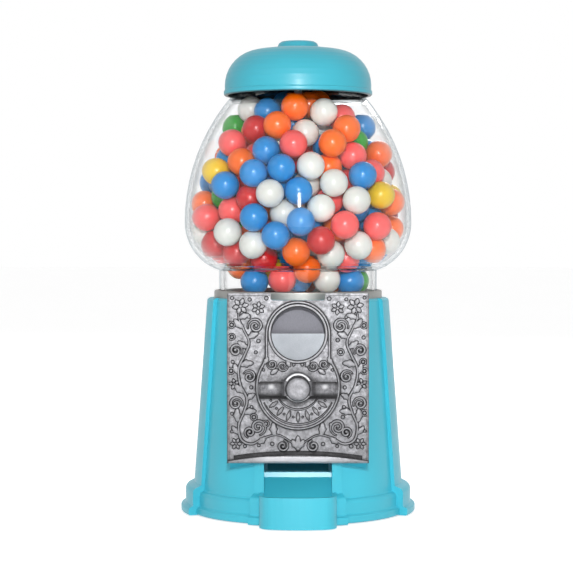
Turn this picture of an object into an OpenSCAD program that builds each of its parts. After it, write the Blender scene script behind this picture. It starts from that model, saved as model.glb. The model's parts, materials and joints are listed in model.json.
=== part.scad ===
// Table-top gumball machine with a coin mechanism, a glass globe and a lift-off lid.
// Origin: on the table, at the machine's vertical axis. +Z is up and the front faces -Y.
// Millimetres.

/* [Body] */
// Height of the painted body above the table
body_h = 127.5; // [118:0.5:140]
// Outer radius of the round body at its top
body_r_top = 52; // [51.5:0.1:56]
// Outer radius of the round body just above the foot
body_r_foot = 60; // [59:0.5:66]
// Wall thickness of the body casting
body_wall = 3; // [2:0.25:4]
// How far the four panels stand proud of the body
panel_proud = 2.2; // [1:0.1:3.5]
// Half angle of each panel, seen from above
panel_half_angle = 24; // [20:1:30]
// Outer radius of the foot between the panels
foot_r = 65; // [64:0.5:70]
// How far the foot stands proud at the panels
foot_panel_proud = 4.8; // [3:0.1:6]
// Height of the foot's upper tier
foot_h = 14.5; // [11:0.5:18]
// Height of the foot's bottom rim
rim_h = 4.2; // [3:0.1:6]
// Gap under the body's rim, left by the pad
rim_lift = 0.8; // [0.4:0.1:1.5]

/* [Mechanism housing and plate] */
// Width of the front plate
plate_w = 80; // [76:1:84]
// Height of the front plate
plate_h = 96; // [92:0.5:100]
// Thickness of the front plate
plate_t = 3; // [2.5:0.25:4]
// How far the front plate rises above the body's top
plate_rise = 4.1; // [2:0.1:5]
// Distance from the axis to the plate's back face
plate_y = 58; // [57.5:0.25:60]
// Depth of the handle's axis below the body's top
handle_drop = 48.9; // [48:0.1:49.6]
// Height of the coin window's centre above the handle's axis
window_rise = 30.3; // [29:0.1:31.5]
// Radius of the coin window
window_r = 15.5; // [14:0.1:16.5]
// Height of the raised cast relief on the plate
relief = 0.9; // [0.5:0.1:1.5]

/* [Handle] */
// Length of the handle's bar
handle_w = 45; // [38:0.5:48]
// Height of the handle's bar
handle_h = 7.8; // [6:0.2:10]
// Radius of the handle's hub
hub_r = 7; // [6:0.1:8]
// How far the handle stands out from the plate
handle_out = 15; // [12:0.5:20]
// Radius of the drive shaft
shaft_r = 4; // [3:0.1:4.5]

/* [Coin] */
// Radius of the largest coin the carrier takes
coin_r = 12.2; // [9:0.1:12.2]
// Thickness of the carrier that the coin rides in
carrier_t = 2.4; // [1.8:0.1:2.6]
// Radius of the coin carrier
carrier_r = 24; // [22:0.5:25]

/* [Gears] */
// Module of the two spur gears behind the plate
spur_module = 1.3; // [1.25:0.01:1.32]
// Teeth on each spur gear
spur_teeth = 16; // [16:1:16]
// Module of the pinion and the candy wheel's crown teeth
crown_module = 1.8; // [1.76:0.01:1.82]
// Teeth on the pinion
pinion_teeth = 8; // [8:1:8]
// Teeth on the candy wheel
crown_teeth = 48; // [48:1:48]

/* [Candy wheel] */
// Number of pockets in the candy wheel
pockets = 6; // [4:1:6]
// Radius of each pocket
pocket_r = 8.75; // [8.5:0.05:9]
// Distance from the axis to each pocket's centre
pocket_ring_r = 30; // [27:0.5:30]
// Outer radius of the candy wheel's drum
wheel_r = 43.3; // [43:0.1:43.4]
// Depth of the pockets
wheel_h = 17; // [16.8:0.1:18]

/* [Globe] */
// Largest outer radius of the globe
globe_r = 67.5; // [64:0.5:72]
// Outer radius of the globe's neck
neck_r = 47; // [46.8:0.1:47.2]
// Thickness of the glass
glass_t = 2.5; // [1.8:0.1:2.8]
// Radius of the round shoulder below the widest point
globe_low_arc = 30; // [28:0.5:32]
// Outer radius of the globe's mouth
mouth_r = 39.25; // [38.5:0.05:39.8]
// Height of the widest point above the body's top
globe_waist = 44.5; // [42:0.5:48]
// Height of the globe's mouth above its widest point
globe_rise = 84; // [82:0.5:88]

/* [Lid] */
// Outer radius of the lid's rolled rim
lid_r = 44.2; // [43.5:0.1:47]
// Height of the lid, without its boss
lid_h = 28.9; // [26:0.1:32]
// How far the lid's rim hangs below the globe's mouth
lid_overlap = 8.6; // [6:0.1:11]
// Wall thickness of the lid
lid_wall = 1.8; // [1.2:0.1:2.5]
// Radius of the raised boss on top
boss_r = 12.2; // [9:0.1:16]
// Height of the raised boss on top
boss_h = 3.1; // [1.5:0.1:5]
// Radius of the centre rod
rod_r = 2.4; // [2:0.1:2.5]

/* [Cup] */
// Outer width of the candy cup
cup_w = 43.6; // [40:0.2:48]
// Distance from the axis to the cup's front
cup_y = 82; // [78:0.5:86]
// Height of the cup's lip above the table
cup_lip_z = 18.6; // [15:0.2:22]
// Wall thickness of the cup
cup_wall = 2.5; // [2:0.1:3.5]
// How far the ramp's back edge lies below the top of the outlet
ramp_drop = 7.7; // [6:0.1:8.5]

/* [Gumballs] */
// Diameter of a gumball
ball_d = 16; // [15:0.1:16.4]
// Most gumballs that the globe is filled with
ball_count = 280; // [60:1:340]
// Seed of the random fill
fill_seed = 7; // [1:1:99]

/* [Base] */
// Thickness of the base plate
base_t = 1.6; // [1:0.1:2.5]
// Thickness of the pad under the base plate
pad_t = 2.4; // [1.8:0.1:3]
// Radius of the hole for the coin plug
plug_r = 14; // [12:0.5:16]

/* [Hidden] */
$fn = 96;

paint = [0.28, 0.76, 0.86];
pewter = [0.50, 0.50, 0.52];
bare_metal = [0.72, 0.74, 0.76];
dark_plastic = [0.12, 0.13, 0.14];
rubber = [0.10, 0.10, 0.10];
brass = [0.78, 0.62, 0.30];

handle_z = body_h - handle_drop;
plate_z = body_h + plate_rise - plate_h;

gap = 0.3;            // clearance between parts that only lie near each other
fit = 0.05;           // radial clearance of a running shaft
cut = 1;              // how far a cutting solid runs past a face

// Body
foot_round = 3;
shoulder_round = 2;
rim_ledge = 2;                                // step between the foot's rim and its upper tier
ledge_r = 43.5;                               // inner radius of the ledge that carries the hopper floor
ledge_t = 3.5;
seat_r = 46.5;                                // inner radius of the body above the ledge
floor_rim_t = 2;                              // thickness of the hopper floor's rim
base_z = pad_t;                               // underside of the base plate
base_top = base_z + base_t;
base_r = foot_r - 4.6;

// Candy wheel and hopper floor, stacked down from the body's top
wheel_top = body_h + 1.5;
wheel_bottom = wheel_top - wheel_h;
floor_top = wheel_bottom - gap;
floor_t = 2;
skirt_r = 41;
skirt_t = 1.4;
shaft_y = plate_y - 0.4;                      // front face of the coin carrier
carrier_y = shaft_y - carrier_t;              // back face of the coin carrier
box_wall = 2.4;                               // wall of the housing behind the front plate
mech_t = 2;
mech_y = carrier_y - 0.4;                     // front face of the mechanism plate
mech_back = mech_y - mech_t;
mech_w = 57.6;
mech_bottom = plate_z + 10.4;
mech_top = body_h - box_wall - gap;
mech_notch_z = mech_bottom + 8;               // top of the gap that the coin falls through
gear_t = 4;
gear_y = mech_back - 0.4;                     // front face of the spur gears
gear_back = gear_y - gear_t;

// Gear train: two spur gears, then a pinion under the wheel's crown teeth
spur_rp = spur_module * spur_teeth / 2;
transfer_z = handle_z + 2 * spur_rp;
pinion_rp = crown_module * pinion_teeth / 2;
crown_rp = crown_module * crown_teeth / 2;
crown_z = transfer_z + pinion_rp;             // the plane where pinion and crown teeth roll
crown_in = 41.8;
crown_out = 45.2;
crown_add = 0.7 * crown_module;
pinion_add = 0.85 * crown_module;
tip_gap = 0.4;
crown_root = crown_z + pinion_add + tip_gap;
crown_backlash = 0.36;
spur_backlash = 0.14;
pinion_front = 45.1;
pinion_back = 42.6;
pin_r = 2;
ledge_z = crown_z - 5.6;                      // top of the ledge under the hopper floor's rim

// Housing behind the front plate
box_w = plate_w - 2;
opening_w = mech_w + 1.6;
frame_screw_x = (opening_w + 7.2) / 2;
frame_screw_z = [plate_z + 8.4, body_h - 7];
screw_r = 1.5;
window_z = handle_z + window_rise;
slot_t = 1;
plate_edge = 1;                               // width of the plate's raised border
arch_r = 240;                                 // radius of the cove across the plate's foot
cove_z = plate_z + 5.6;
cove_h = 3;
cove_depth = 1.4;
lip_out = 2.2;
notch_w = 2 * window_r;
notch_h = 4;

// Cup and ramp
cup_in_w = cup_w - 2 * cup_wall;
cup_floor = 4;
outlet_top = plate_z + 0.4;
ramp_back_y = 38.5;
ramp_back_z = outlet_top - ramp_drop;
ramp_foot_y = cup_y - cup_wall - 10.6;
ramp_foot_z = cup_floor + 3;
step_h = 3;                                   // steep step at the ramp's top
step_y = ramp_back_y + 2;                     // edge that a gumball rolls over
step_z = ramp_back_z - 0.2;
step_run = 0.75;
ramp_slope = (step_z - step_h - ramp_foot_z) / (ramp_foot_y - step_y - step_run);
ramp_angle = atan(ramp_slope);
ramp_skin = 3;
hollow_end_y = step_y + (step_z - step_h - ramp_skin + step_run - base_top) / ramp_slope;
cup_corner = 9;
cup_bow = 60;
roof_angle = 38;
roof_back_y = ramp_back_y + 2.1;
roof_back_z = outlet_top + (plate_y - roof_back_y) * tan(roof_angle);
roof_ridge = 7;                               // rise of the roof's ridge, which sheds the coins

// Chute
chute_wall = 1.5;
chute_w = cup_in_w - 0.4;
chute_back_y = 17.5;
chute_top = ledge_z - ledge_t - 0.6;
chute_turn = 90 - ramp_angle;
chute_arc = (ramp_back_y - chute_back_y) / (1 - cos(chute_turn));
chute_bend_z = ramp_back_z + chute_arc * sin(chute_turn);

// Globe
waist_z = body_h + globe_waist;
mouth_z = waist_z + globe_rise;
collar_t = 1.5;
gasket_t = 1;
neck_z = body_h + collar_t + gasket_t;
neck_in = neck_r - glass_t;
mouth_band = 8.5;                             // straight band below the mouth
globe_high_arc = (pow(globe_r - mouth_r, 2) + pow(globe_rise - mouth_band, 2)) / (2 * (globe_r - mouth_r));
collar_r = neck_r + 3;
collar_top = body_h + 4.5;

// Lid
lid_z = mouth_z - lid_overlap;
lid_top = lid_z + lid_h;
lid_shoulder = 21;
lid_step_z = mouth_z + 0.3;

// Rod
rod_bottom = 3.4;
rod_top = lid_top - 4;
nut_af = 8;
nut_t = 3;
guard_t = 1;
guard_z = wheel_top + 0.4;
guard_half_angle = 19;

// Gumballs
ball_r = ball_d / 2;
cell = ball_d + 0.25;                         // closest that two centres come
ball_reach = ball_r + 0.3;                    // closest that a centre comes to a wall
floor_low = wheel_top + ball_reach;
floor_guard = guard_z + guard_t + ball_reach;

// ---------------------------------------------------------------- shared shapes

// Points along an arc, from angle a0 to a1
function arc(c, r, a0, a1, n = 8) = [for (i = [0:n]) let (a = a0 + (a1 - a0) * i / n) c + r * [cos(a), sin(a)]];

// A disc or tube standing on z
module tube(r_out, r_in, z0, z1) {
    translate([0, 0, z0]) difference() {
        cylinder(r = r_out, h = z1 - z0);
        translate([0, 0, -cut]) cylinder(r = r_in, h = z1 - z0 + 2 * cut);
    }
}

// A cylinder along Y, from the larger distance y0 in front of the axis back to y1
module rod_y(r, x, z, y0, y1) {
    translate([x, -y0, z]) rotate([-90, 0, 0]) cylinder(r = r, h = y0 - y1);
}

// A plate standing across Y, from an outline drawn in X and Z
module slab_y(y0, y1) {
    translate([0, -y1, 0]) rotate([90, 0, 0]) linear_extrude(y0 - y1) children();
}

// A solid from an outline drawn in Y and Z, centred on X
module slab_x(w) {
    translate([-w / 2, 0, 0]) rotate([90, 0, 90]) linear_extrude(w) children();
}

// A hexagon across flats af along Z
module hex(af, h) { cylinder(r = af / 2 / cos(30), h = h, $fn = 6); }

// Half the angle that an involute tooth takes up at radius r
function involute(a) = tan(a) - a * PI / 180;
function half_tooth(r, rp, m, n, pa, backlash) =
    let (rb = rp * cos(pa), here = r > rb ? acos(rb / r) : 0)
    ((PI * m / 2 - backlash) / (2 * rp) + involute(pa) - involute(here)) * 180 / PI;

// Outline of a spur gear with one tooth pointing along +Y of the drawing
function gear_outline(m, n, pa, add, ded, backlash) =
    let (rp = m * n / 2, rb = rp * cos(pa), tip = rp + add, root = rp - ded,
         low = max(root, rb), steps = [0:3],
         radii = [root, for (s = steps) low + (tip - low) * s / 3])
    [for (k = [0:n - 1], side = [1, -1], j = [0:4])
        let (i = side > 0 ? j : 4 - j, r = radii[i],
             a = 90 - 360 * k / n + side * half_tooth(max(r, low), rp, m, n, pa, backlash))
        r * [cos(a), sin(a)]];

// ---------------------------------------------------------------- body

// Radius of the round body's skin at height z
function skin_r(z) = body_r_foot + (body_r_top - body_r_foot) * (z - foot_h) / (body_h - foot_h);

// Half section of the painted body, standing 'out' proud of the round skin and 'foot_out' at the foot
function skin_outline(out, foot_out) = let (
    top_r = body_r_top + out,
    tier_r = foot_r - rim_ledge + foot_out * 0.85,
    rim_r = foot_r + foot_out,
    tier_top = foot_h + foot_out * 0.5)
    concat(
        [[0, rim_lift], [rim_r - 1, rim_lift]],
        arc([rim_r - 1.2, rim_lift + 1.2], 1.2, -60, 0, 4),
        arc([rim_r - 1.2, rim_h], 1.2, 0, 80, 4),
        [[tier_r + 0.5, rim_h + 1.5], [tier_r, rim_h + 2.2]],
        arc([tier_r - foot_round, tier_top - foot_round], foot_round, 0, 80, 6),
        [[skin_r(tier_top + 1) + out, tier_top + 1]],
        arc([top_r - shoulder_round, body_h - shoulder_round], shoulder_round, 5, 90, 6),
        [[0, body_h]]);

// The wedge of the plan that one panel takes up
module panel_wedge() {
    reach = foot_r + foot_panel_proud + 20;
    linear_extrude(body_h + cut) polygon([
        [0, 0],
        [reach, -reach * tan(panel_half_angle)],
        [reach, reach * tan(panel_half_angle)]
    ]);
}

module body_skin() {
    rotate_extrude() polygon(skin_outline(0, 0));
    intersection() {
        rotate_extrude() polygon(skin_outline(panel_proud, foot_panel_proud));
        for (a = [0:90:270]) rotate(a) panel_wedge();
    }
}

// The flat-fronted housing that carries the plate
module housing_block() {
    slab_x(box_w) polygon([
        [-plate_y, outlet_top],
        [-plate_y, body_h],
        [-20, body_h],
        [-20, outlet_top - 16]
    ]);
}

// The hollow inside the body, with the base plate's seat, the ledge and the top opening
module body_cavity() {
    z_low = ledge_z - ledge_t;
    rotate_extrude() polygon([
        [0, -cut],
        [base_r + gap, -cut],
        [base_r + gap, base_top],
        [body_r_foot - body_wall, base_top],
        [body_r_foot - body_wall, foot_h],
        [skin_r(z_low) - body_wall, z_low],
        [ledge_r, z_low],
        [ledge_r, ledge_z],
        [seat_r, ledge_z],
        [seat_r, body_h + cut],
        [0, body_h + cut]
    ]);
}

// The room for the mechanism behind the plate
module housing_cavity() {
    z_low = ledge_z - ledge_t;
    // Opening in the front face
    slab_y(plate_y + cut, mech_back - 0.4) translate([0, (mech_bottom + mech_top) / 2])
        square([opening_w, mech_top - mech_bottom + 1.6], center = true);
    // Room below the ledge
    translate([-box_w / 2 + box_wall, -plate_y + body_wall, outlet_top + body_wall])
        cube([box_w - 2 * box_wall, plate_y - body_wall - 20, z_low - outlet_top - body_wall]);
    // Hollow corners above the ledge, open below
    difference() {
        translate([-box_w / 2 + box_wall, -plate_y + body_wall, z_low - cut])
            cube([box_w - 2 * box_wall, plate_y - body_wall - 20, body_h - body_wall - z_low + cut]);
        cylinder(r = seat_r + body_wall, h = body_h);
    }
    // Room for the upper spur gear and its pinion
    slab_y(mech_back + cut, gear_back - 0.8) union() {
        translate([0, transfer_z]) circle(r = spur_rp + spur_module + 1);
        translate([-spur_rp - 2, z_low - cut]) square([2 * spur_rp + 4, transfer_z - z_low + cut]);
    }
    slab_y(gear_back + cut, pinion_back - 1.6) union() {
        translate([0, transfer_z]) circle(r = pinion_rp + pinion_add + 1);
        translate([-pinion_rp - pinion_add - 1, z_low - cut])
            square([2 * (pinion_rp + pinion_add + 1), transfer_z - z_low + cut]);
    }
}

// Plan of the cup, shrunk by 'inset' on every side: a bowed front that runs into round corners
function cup_plan(inset) = let (w = cup_w / 2 - inset, c = cup_corner - inset, bow = cup_bow - inset,
    bow_c = -cup_y + cup_bow, side = bow_c - sqrt(pow(bow - c, 2) - pow(w - c, 2)),
    turn = asin((w - c) / (bow - c)))
    concat(
        [[-w, -ramp_back_y]],
        arc([-w + c, side], c, 180, 270 - turn, 7),
        arc([0, bow_c], bow, 270 - turn * 0.8, 270 + turn * 0.8, 6),
        arc([w - c, side], c, 270 + turn, 360, 7),
        [[w, -ramp_back_y]]);

// The line that a gumball rolls along, from the back of the ramp to the cup's floor
function ramp_line() = concat(
    [[-ramp_back_y + cut, ramp_back_z + cut * ramp_slope], [-ramp_back_y, ramp_back_z]],
    [[-step_y, step_z], [-step_y - step_run, step_z - step_h]],
    [[-ramp_foot_y, ramp_foot_z]],
    [[-ramp_foot_y - 3, cup_floor + 1.2], [-ramp_foot_y - 7, cup_floor]],
    [[-cup_y - cut, cup_floor]]);

module cup_block() {
    // Cup in front of the foot, down to the table
    difference() {
        translate([0, 0, rim_lift]) linear_extrude(cup_lip_z - rim_lift) polygon(cup_plan(0));
        translate([-cup_w, -body_r_foot + body_wall, 0]) cube([2 * cup_w, body_r_foot, body_h]);
        translate([0, 0, -cut]) cylinder(r = base_r + gap, h = base_top + cut);
    }
    // Ramp block, above the base plate, with a ridged roof
    difference() {
        slab_x(cup_w) polygon([
            [-ramp_back_y, base_top],
            [-ramp_back_y, ramp_back_z],
            [-roof_back_y, ramp_back_z + 0.8],
            [-roof_back_y, roof_back_z + body_wall + roof_ridge],
            [-plate_y + cut, outlet_top + body_wall + roof_ridge],
            [-plate_y + cut, base_top]
        ]);
        for (m = [0, 1]) mirror([m, 0, 0])
            translate([0, -plate_y, outlet_top + body_wall + roof_ridge - 0.6])
                rotate([roof_angle, 0, 0]) rotate([0, atan(roof_ridge / (cup_w / 2)), 0])
                    translate([-5, -20, 0]) cube([60, 80, 40]);
        // Hollow under the ramp
        slab_x(cup_in_w) polygon([
            [-ramp_back_y + cut, base_top - cut],
            [-ramp_back_y + cut, step_z - step_h],
            [-step_y, step_z - step_h - ramp_skin + step_run],
            [-hollow_end_y, base_top],
            [-hollow_end_y, base_top - cut]
        ]);
    }
}

module cup_cavity() {
    intersection() {
        linear_extrude(body_h) polygon(cup_plan(cup_wall));
        slab_x(cup_w) polygon(concat(ramp_line(), [
            [-cup_y - cut, outlet_top],
            [-plate_y, outlet_top],
            [-ramp_back_y + cut, outlet_top + (plate_y - ramp_back_y + cut) * tan(roof_angle)]
        ]));
    }
}

module body() {
    color(paint) difference() {
        union() {
            difference() {
                union() {
                    body_skin();
                    housing_block();
                }
                body_cavity();
                housing_cavity();
                // Flat seat for the front plate
                translate([-plate_w, -plate_y - 20, plate_z - gap]) cube([2 * plate_w, 20, body_h]);
            }
            cup_block();
        }
        cup_cavity();
        for (x = [-1, 1], z = frame_screw_z) rod_y(screw_r + 0.2, x * frame_screw_x, z, plate_y + cut, plate_y - 20);
    }
}

// ---------------------------------------------------------------- base

// Centre of the coin plug
plug_at = [26, 24];
dimple_r = 13;
dimple_h = 9;

module base_plate() {
    color(bare_metal) difference() {
        rotate_extrude() polygon([
            [rod_r + gap, base_z + dimple_h],
            [dimple_r - base_t, base_z + dimple_h],
            [dimple_r, base_z],
            [base_r, base_z],
            [base_r, base_top],
            [dimple_r + base_t, base_top],
            [dimple_r, base_top + dimple_h],
            [rod_r + gap, base_top + dimple_h]
        ]);
        translate([plug_at[0], plug_at[1], 0]) cylinder(r = plug_r, h = base_top + cut);
    }
}

module base_pad() {
    color(rubber) difference() {
        tube(base_r - 1.5, dimple_r + 1, 0, pad_t);
        translate([plug_at[0], plug_at[1], -cut]) cylinder(r = plug_r + 3, h = pad_t + 2 * cut);
    }
}

module coin_plug() {
    stem_r = plug_r - 0.1;
    color(rubber) translate([plug_at[0], plug_at[1], 0]) rotate_extrude() polygon([
        [0, 1.6],
        [6, 1.6],
        [7, 0.6],
        [plug_r + 2, 0.6],
        [plug_r + 2, base_z - 0.1],
        [stem_r, base_z - 0.1],
        [stem_r, base_top + 3],
        [stem_r - 1.5, base_top + 6],
        [stem_r - 3.5, base_top + 6],
        [stem_r - 3.5, base_z],
        [0, base_z]
    ]);
}

module wing_nut() {
    nut_top = base_z + dimple_h - 1.2;
    color(bare_metal) difference() {
        union() {
            translate([0, 0, nut_top - 4]) cylinder(r1 = 3.6, r2 = 4.6, h = 4);
            for (s = [-1, 1]) intersection() {
                slab_y(0.9, -0.9) translate([s * 7, nut_top - 3.4]) circle(r = 4);
                translate([-12, -1, nut_top - 6.6]) cube([24, 2, 6.6]);
            }
        }
        translate([0, 0, -cut]) cylinder(r = rod_r + fit, h = 30);
    }
}

module rod_washer() {
    color(bare_metal) tube(7.5, rod_r + 0.15, base_z + dimple_h - 1.2, base_z + dimple_h);
}

module center_rod() {
    color(bare_metal) translate([0, 0, rod_bottom]) cylinder(r = rod_r, h = rod_top - rod_bottom);
}

// ---------------------------------------------------------------- hopper

module hopper_floor() {
    color(dark_plastic) difference() {
        rotate_extrude() polygon([
            [rod_r + gap, floor_top - floor_t],
            [skirt_r - skirt_t, floor_top - floor_t],
            [skirt_r - skirt_t, ledge_z],
            [seat_r - gap, ledge_z],
            [seat_r - gap, ledge_z + floor_rim_t],
            [skirt_r, ledge_z + floor_rim_t],
            [skirt_r, floor_top],
            [rod_r + gap, floor_top]
        ]);
        // Hole that a gumball drops through
        translate([0, -pocket_ring_r, ledge_z]) cylinder(r = pocket_r + 0.6, h = 30);
        // Slot for the pinion
        translate([-pinion_rp - pinion_add - 1, -seat_r - cut, ledge_z - cut])
            cube([2 * (pinion_rp + pinion_add + 1), seat_r + cut - skirt_r - 0.1, 8]);
    }
}

// One crown tooth, pointing down, at the front of the wheel
module crown_tooth() {
    flank = tan(25);
    half = (PI * crown_module / 2 - crown_backlash) / 2;
    slab_y(crown_out, crown_in) polygon([
        [-half + crown_add * flank, crown_z - crown_add],
        [half - crown_add * flank, crown_z - crown_add],
        [half + (crown_root - crown_z) * flank, crown_root + 0.2],
        [-half - (crown_root - crown_z) * flank, crown_root + 0.2]
    ]);
}

module candy_wheel() {
    tube_wall = 1.5;
    hub = 7;
    rim_wall = 2;
    rim_in = skirt_r + gap;
    color("whitesmoke") difference() {
        union() {
            tube(wheel_r, rod_r, wheel_top - 2, wheel_top);
            tube(wheel_r, wheel_r - rim_wall, wheel_bottom, wheel_top - 1);
            tube(crown_out, crown_in, crown_root, wheel_bottom + 1.6);
            tube(hub, rod_r, wheel_bottom, wheel_top - 1);
            for (k = [0:pockets - 1]) rotate(-90 + 360 * k / pockets) {
                translate([pocket_ring_r, 0, wheel_bottom]) cylinder(r = pocket_r + tube_wall, h = wheel_h - 1);
                rotate(180 / pockets) translate([hub - 1, -0.8, wheel_bottom + 4])
                    cube([rim_in - hub + 1.2, 1.6, wheel_h - 5]);
            }
            for (k = [0:crown_teeth - 1]) rotate(360 * (k + 0.5) / crown_teeth) crown_tooth();
        }
        translate([0, 0, wheel_bottom - cut]) cylinder(r = rod_r + 0.08, h = wheel_h + 2 * cut);
        for (k = [0:pockets - 1]) rotate(-90 + 360 * k / pockets)
            translate([pocket_ring_r, 0, wheel_bottom - cut]) cylinder(r = pocket_r, h = wheel_h + 2 * cut);
    }
}

// Spring plate that keeps the load off the pocket above the drop hole
module wheel_guard() {
    reach = neck_in - gap - 0.4;
    color(bare_metal) translate([0, 0, guard_z]) difference() {
        union() {
            cylinder(r = 8, h = guard_t);
            intersection() {
                cylinder(r = reach, h = guard_t);
                rotate(-90) linear_extrude(guard_t) polygon([
                    [0, -4],
                    [reach + 5, -(reach + 5) * tan(guard_half_angle)],
                    [reach + 5, (reach + 5) * tan(guard_half_angle)],
                    [0, 4]
                ]);
            }
        }
        translate([0, 0, -cut]) cylinder(r = rod_r + 0.1, h = guard_t + 2 * cut);
    }
}

module guard_nut() {
    color(bare_metal) difference() {
        translate([0, 0, guard_z + guard_t]) hex(nut_af, nut_t);
        cylinder(r = rod_r + fit, h = guard_z + 20);
    }
}

// ---------------------------------------------------------------- globe and lid

module globe_collar() {
    spigot = seat_r - gap;
    color(bare_metal) rotate_extrude() polygon(concat(
        [[neck_in + 0.1, body_h - 3], [spigot, body_h - 3], [spigot, body_h], [collar_r, body_h]],
        arc([collar_r - 1, collar_top - 1], 1, 0, 90, 4),
        [[neck_r + 0.4, collar_top], [neck_r + 0.4, body_h + collar_t], [neck_in + 0.1, body_h + collar_t]]));
}

module globe_gasket() {
    color(rubber) tube(neck_r + 0.2, neck_in + 0.1, body_h + collar_t, neck_z);
}

// One side of the glass, 'inset' inside the outer face
function glass_line(inset) = let (low_c = [globe_r - globe_low_arc, waist_z], low_r = globe_low_arc - inset,
    high_c = [globe_r - globe_high_arc, waist_z], high_r = globe_high_arc - inset,
    neck = neck_r - inset, mouth = mouth_r - inset,
    low_a = -acos((neck - low_c[0]) / low_r), high_a = acos((mouth - high_c[0]) / high_r))
    concat([[neck, neck_z]], arc(low_c, low_r, low_a, 0, 12), arc(high_c, high_r, high_a / 10, high_a, 9),
        [[mouth, mouth_z]]);

module globe() {
    outer = glass_line(0);
    inner = glass_line(glass_t);
    color([0.85, 0.92, 0.95, 0.3]) rotate_extrude(convexity = 6)
        polygon(concat(outer, [for (i = [len(inner) - 1:-1:0]) inner[i]]));
}

// Half section of the lid's outside, 'inset' inside the painted face
function lid_line(inset) = let (
    side = lid_r - 0.6,
    c = [side - lid_shoulder, lid_z + 6.1],
    u = (c[0] * c[0] - pow(lid_top - lid_shoulder - c[1], 2)) / (2 * (lid_top - lid_shoulder - c[1])),
    crown_c = [0, c[1] - u],
    crown_r = lid_top - crown_c[1],
    join = atan(u / c[0]))
    concat([[side - inset, c[1] - 3]], arc(c, lid_shoulder - inset, 0, join, 9),
        arc(crown_c, crown_r - inset, join + (90 - join) * 0.25, 90, 3));

module lid() {
    outer = lid_line(0);
    inner = lid_line(lid_wall);
    insert_r = 5;
    color(paint) difference() {
        union() {
            // Dome and its rolled rim
            rotate_extrude(convexity = 6) polygon(concat(
                [[lid_r - 2.4, lid_z], [lid_r - 0.6, lid_z]],
                arc([lid_r - 1, lid_z + 1], 1, -60, 0, 3),
                arc([lid_r - 1, lid_z + 2.2], 1, 0, 60, 3),
                outer,
                [for (i = [len(inner) - 1:-1:0]) inner[i]]));
            // Boss on top
            rotate_extrude() polygon([
                [0, lid_top - lid_wall],
                [boss_r + 0.6, lid_top - 1],
                [boss_r, lid_top + 0.4],
                [boss_r - 0.8, lid_top + boss_h - 1],
                [boss_r - 2.2, lid_top + boss_h],
                [0, lid_top + boss_h]
            ]);
            // Socket for the threaded insert
            tube(insert_r + 2, insert_r - 1, lid_top - 12, lid_top - 0.5);
            // Step that rests on the globe's mouth
            tube(lid_r - lid_wall - 0.2, mouth_r - 4, lid_step_z, lid_step_z + 2);
        }
        translate([0, 0, lid_top - 12 - cut]) cylinder(r = insert_r, h = 12);
    }
}

module lid_insert() {
    color(brass) tube(4.9, rod_r + fit, lid_top - 12, lid_top - 2);
}

// ---------------------------------------------------------------- plate

// Outline of the raised keyhole shield: a round-topped arch that runs into a disc
module keyhole(grow) {
    disc_r = 24 + grow;
    shield_r = window_r + 2.8 + grow;
    translate([0, handle_z]) circle(r = disc_r);
    translate([0, window_z]) circle(r = shield_r);
    translate([-shield_r, handle_z]) square([2 * shield_r, window_rise]);
}

// Area under an arch that spans the plate's foot
module under_arch(z) {
    intersection() {
        translate([0, z - arch_r]) circle(r = arch_r, $fn = 360);
        translate([-plate_w / 2, plate_z]) square([plate_w, z - plate_z + cut]);
    }
}

// Rolled lip along the bottom of the plate
module plate_lip() {
    face = plate_y + plate_t;
    lip_r = 1.7;
    intersection() {
        slab_x(plate_w) polygon(concat(
            [[-plate_y - cut, plate_z]],
            arc([-face - lip_out + lip_r, plate_z + lip_r], lip_r, 270, 180, 6),
            arc([-face - lip_out + lip_r, cove_z - cove_h / 2 - lip_r * 0.6], lip_r, 180, 100, 6),
            [[-plate_y - cut, cove_z]]));
        slab_y(face + 10, plate_y - cut) under_arch(cove_z - cove_h / 2 + 0.4);
    }
}

module front_plate() {
    face = plate_y + plate_t;
    color(pewter) difference() {
        union() {
            slab_y(face, plate_y) translate([-plate_w / 2, plate_z]) square([plate_w, plate_h]);
            // Raised border
            slab_y(face + relief * 0.4, plate_y + cut) difference() {
                translate([-plate_w / 2, plate_z]) square([plate_w, plate_h]);
                translate([-plate_w / 2 + plate_edge, plate_z + plate_edge])
                    square([plate_w - 2 * plate_edge, plate_h - 2 * plate_edge]);
            }
            // Keyhole shield
            slab_y(face + relief, plate_y + cut) keyhole(0);
            plate_lip();
        }
        // Arched cove above the lip
        slab_y(face + 5, face - cove_depth) intersection() {
            difference() {
                under_arch(cove_z + cove_h / 2);
                under_arch(cove_z - cove_h / 2 + 0.4);
            }
            translate([-plate_w / 2 + 3.6, plate_z]) square([plate_w - 7.2, plate_h]);
        }
        // Notch over the shield, where the collar shows
        slab_y(face + 5, plate_y - cut) top_notch();
        // Coin window and the room behind it
        rod_y(window_r, 0, window_z, face + 5, plate_y - cut);
        // Bearing for the handle
        rod_y(shaft_r + fit, 0, handle_z, face + 5, plate_y - cut);
        // Blind holes for the frame screws
        for (x = [-1, 1], z = frame_screw_z) rod_y(screw_r, x * frame_screw_x, z, face - 1, plate_y - cut);
    }
}

module top_notch() {
    low = plate_z + plate_h - notch_h;
    translate([-notch_w / 2, low + 1.5]) square([notch_w, notch_h]);
    translate([-notch_w / 2 + 1.5, low]) square([notch_w - 3, notch_h]);
    for (x = [-1, 1]) translate([x * (notch_w / 2 - 1.5), low + 1.5]) circle(r = 1.5);
}

// Half disc that closes the lower half of the window, and leaves the coin slot above and behind it
module coin_slot_plate() {
    front = plate_y + plate_t + relief - 0.9;
    color(bare_metal) intersection() {
        rod_y(window_r - fit, 0, window_z, front, plate_y + slot_t);
        translate([-window_r, -front - cut, window_z - window_r - cut])
            cube([2 * window_r, 20, window_r + cut]);
    }
}

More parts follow.
